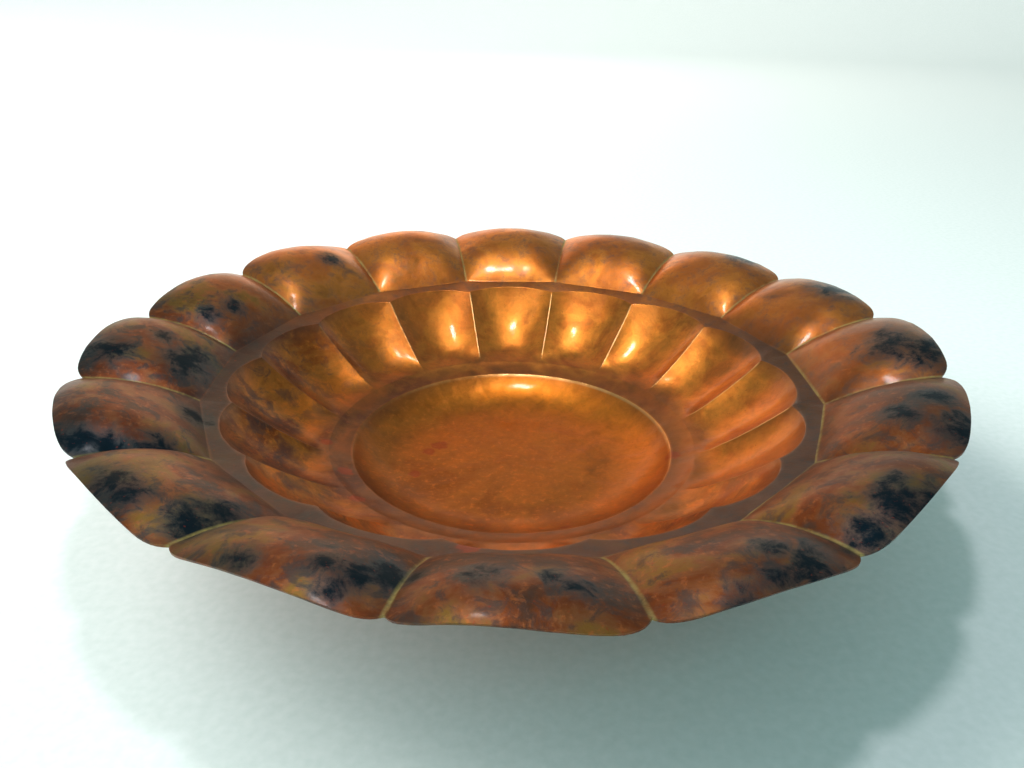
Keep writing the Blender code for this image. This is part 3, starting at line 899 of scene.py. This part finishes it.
# %% Copper strip
t, place, surface = start_material(foot_copper)
cloud = add(t, "ShaderNodeTexNoise", None, {
    "Vector": place, "Scale": 1 / CLOUD, "Detail": 5.0, "Roughness": 0.6, "Distortion": 0.5})
mark = add(t, "ShaderNodeTexVoronoi", {"feature": "SMOOTH_F1"}, {
    "Vector": place, "Scale": 1 / (5 * MM), "Smoothness": 0.6})
grain = add(t, "ShaderNodeTexNoise", None, {"Vector": place, "Scale": 1 / GRAIN, "Detail": 4.0})
tone = add(t, "ShaderNodeValToRGB", None, [cloud], ramp=[
    (0.32, PLUM), (0.45, UMBER), (0.60, TAWNY), (0.75, WARM)])
dull = add(t, "ShaderNodeMapRange", None, [cloud, 0.3, 0.7, 0.45, 0.32])
relief = add(t, "ShaderNodeMath", TIMES_PLUS, [grain, 0.12, mark])
bump = add(t, "ShaderNodeBump", None, {"Height": relief, "Strength": 0.6, "Distance": 0.15 * MM})
metal = add(t, "ShaderNodeBsdfPrincipled", None, {
    "Base Color": tone.outputs["Color"], "Metallic": 1.0, "Roughness": dull, "Normal": bump})
t.links.new(metal.outputs["BSDF"], surface.inputs["Surface"])
print(foot_copper.name, "has", len(t.nodes), "nodes")

# %% Tin solder
t, place, surface = start_material(tin_solder)
smear = add(t, "ShaderNodeTexNoise", None, {
    "Vector": place, "Scale": 1 / (3 * MM), "Detail": 5.0, "Roughness": 0.6, "Distortion": 1.2})
tone = add(t, "ShaderNodeValToRGB", None, [smear], ramp=[
    (0.35, colour("#6d6862")), (0.55, colour("#a09d95")), (0.72, colour("#c4c2ba"))])
dull = add(t, "ShaderNodeMapRange", None, [smear, 0.3, 0.7, 0.5, 0.35])
bump = add(t, "ShaderNodeBump", None, {"Height": smear, "Strength": 0.5, "Distance": 0.1 * MM})
metal = add(t, "ShaderNodeBsdfPrincipled", None, {
    "Base Color": tone.outputs["Color"], "Metallic": 1.0, "Roughness": dull, "Normal": bump})
t.links.new(metal.outputs["BSDF"], surface.inputs["Surface"])
print(tin_solder.name, "has", len(t.nodes), "nodes")

# %% [markdown]
# ## A pale paper cove
#
# Metal shows what stands around it, so the surroundings are part of the finish.
# Pale paper, flat under the bowl and curved up all round, four metres away, gives
# a plain ground without a horizon from every side. It is one more section carried
# round the axis.

# %% The paper
COVE_RADIUS = 4.4
COVE_CURVE = 1.4  # radius of the curve between the floor and the wall
COVE_TOP = 2.2
COVE_SIDES = 96
ground = [((COVE_RADIUS - COVE_CURVE) * (i / 10) ** 2, 0.0) for i in range(11)]
for i in range(1, 25):
    turn = math.pi / 2 * i / 24
    ground.append((COVE_RADIUS - COVE_CURVE * (1 - math.sin(turn)), COVE_CURVE * (1 - math.cos(turn))))
ground.append((COVE_RADIUS, COVE_TOP))
matt_paper = bpy.data.materials.new("matt_background_paper")
t, place, surface = start_material(matt_paper)
fibre = add(t, "ShaderNodeTexNoise", None, {"Vector": place, "Scale": 1 / (4 * MM), "Detail": 4.0})
tone = add(t, "ShaderNodeValToRGB", None, [fibre], ramp=[
    (0.3, colour("#e3ebeb")), (0.7, colour("#ecf2f3"))])
matt = add(t, "ShaderNodeBsdfPrincipled", None, {"Base Color": tone.outputs["Color"], "Roughness": 0.9})
t.links.new(matt.outputs["BSDF"], surface.inputs["Surface"])
paper = ring_piece("paper_cove", ground, COVE_SIDES, 0.0, 1.0, matt_paper)

# %% [markdown]
# ## Light
#
# A compact white lamp hangs about a metre over the bowl and makes the small
# bright glints on the flutes. A wide soft window behind, to the left, lights the
# paper, with a weak fill in front and a wash on the far wall. Two warm glows,
# overhead and behind, show only in the metal. The pale room fills the rest.

# %% Lamps and surroundings


def lamp(name, place, aim, size, watts, tint, shape="DISK"):
    """An area light at one place that looks at another."""
    data = bpy.data.lights.new(name, "AREA")
    data.shape = shape
    data.size = size
    data.energy = watts
    data.color = colour(tint)[:3]
    obj = bpy.data.objects.new(name, data)
    bpy.context.collection.objects.link(obj)
    obj.location = place
    obj.rotation_euler = (Vector(aim) - Vector(place)).to_track_quat("-Z", "Y").to_euler()
    return obj


lamp("overhead_lamp", (-0.05, 0.0, 1.05), (0.0, 0.0, 0.0), 0.12, 2.7, "#fbfaff")
window = lamp("window", (-2.2, 1.0, 1.6), (0.0, 0.5, 0.0), 2.4, 136.0, "#fffdf6", "SQUARE")
fill = lamp("front_fill", (0.6, -1.6, 1.2), (0.0, -0.3, 0.0), 1.6, 8.0, "#70e0e0", "SQUARE")
ceiling = lamp("warm_ceiling", (-0.7, -0.8, 1.7), (0.0, 0.0, 0.0), 1.3, 6.0, "#ffe9cc", "SQUARE")
wall = lamp("warm_wall", (-0.6, 2.2, 0.9), (0.0, 0.0, 0.0), 1.6, 7.5, "#ffb45c", "SQUARE")
for glow in (ceiling, wall):
    glow.visible_diffuse = False  # seen in the copper, but not felt by the paper
    glow.visible_camera = False
wash = lamp("wall_wash", (0.2, 1.9, 2.1), (0.2, 4.2, 0.4), 1.2, 26.0, "#fff2e8", "SQUARE")
for soft in (window, fill, wash):
    soft.visible_glossy = False  # the copper shows the room, not these lamps
    soft.visible_camera = False
world = bpy.data.worlds.new("pale_room")
world.use_nodes = True
backdrop = world.node_tree.nodes["Background"]
backdrop.inputs["Color"].default_value = colour("#cee8e5")
backdrop.inputs["Strength"].default_value = 0.42
bpy.context.scene.world = world

# %% [markdown]
# ## Camera
#
# The camera stands close, 42 cm from the middle of the rim and 23 degrees above
# it, so the near petals look much larger than the far ones.

# %% Camera
CAMERA_DISTANCE = 2.102 * NOTCH[0]
CAMERA_ELEVATION = math.radians(23.06)
CAMERA_SWING = math.radians(-0.74)  # how far the camera stands round from the front
FOCAL_LENGTH = 29.47  # in mm, for a sensor 36 mm wide
camera = bpy.data.objects.new("camera", bpy.data.cameras.new("camera"))
bpy.context.collection.objects.link(camera)
camera.data.lens = FOCAL_LENGTH
camera.data.clip_start = 0.01
forward = Vector((0.0, math.cos(CAMERA_ELEVATION), -math.sin(CAMERA_ELEVATION)))
right = Vector((1.0, 0.0, 0.0))
up = right.cross(forward)
spot = Vector((0.0, 0.0, NOTCH[1])) - forward * CAMERA_DISTANCE
axes = [right, up, forward]
for which, degrees in ((1, 0.03), (0, -2.55), (2, -0.69)):  # pan, tilt and roll
    turn = Matrix.Rotation(math.radians(degrees), 3, axes[which])
    axes = [turn @ axis for axis in axes]
right, up, forward = axes
facing = Matrix((right, up, -forward)).transposed().to_4x4()
swing = Matrix.Rotation(CAMERA_SWING, 4, "Z")
camera.matrix_world = swing @ Matrix.Translation(spot) @ facing
bpy.context.scene.camera = camera
bpy.context.scene.view_settings.view_transform = "Standard"
print("camera at", [round(c, 3) for c in camera.matrix_world.translation])
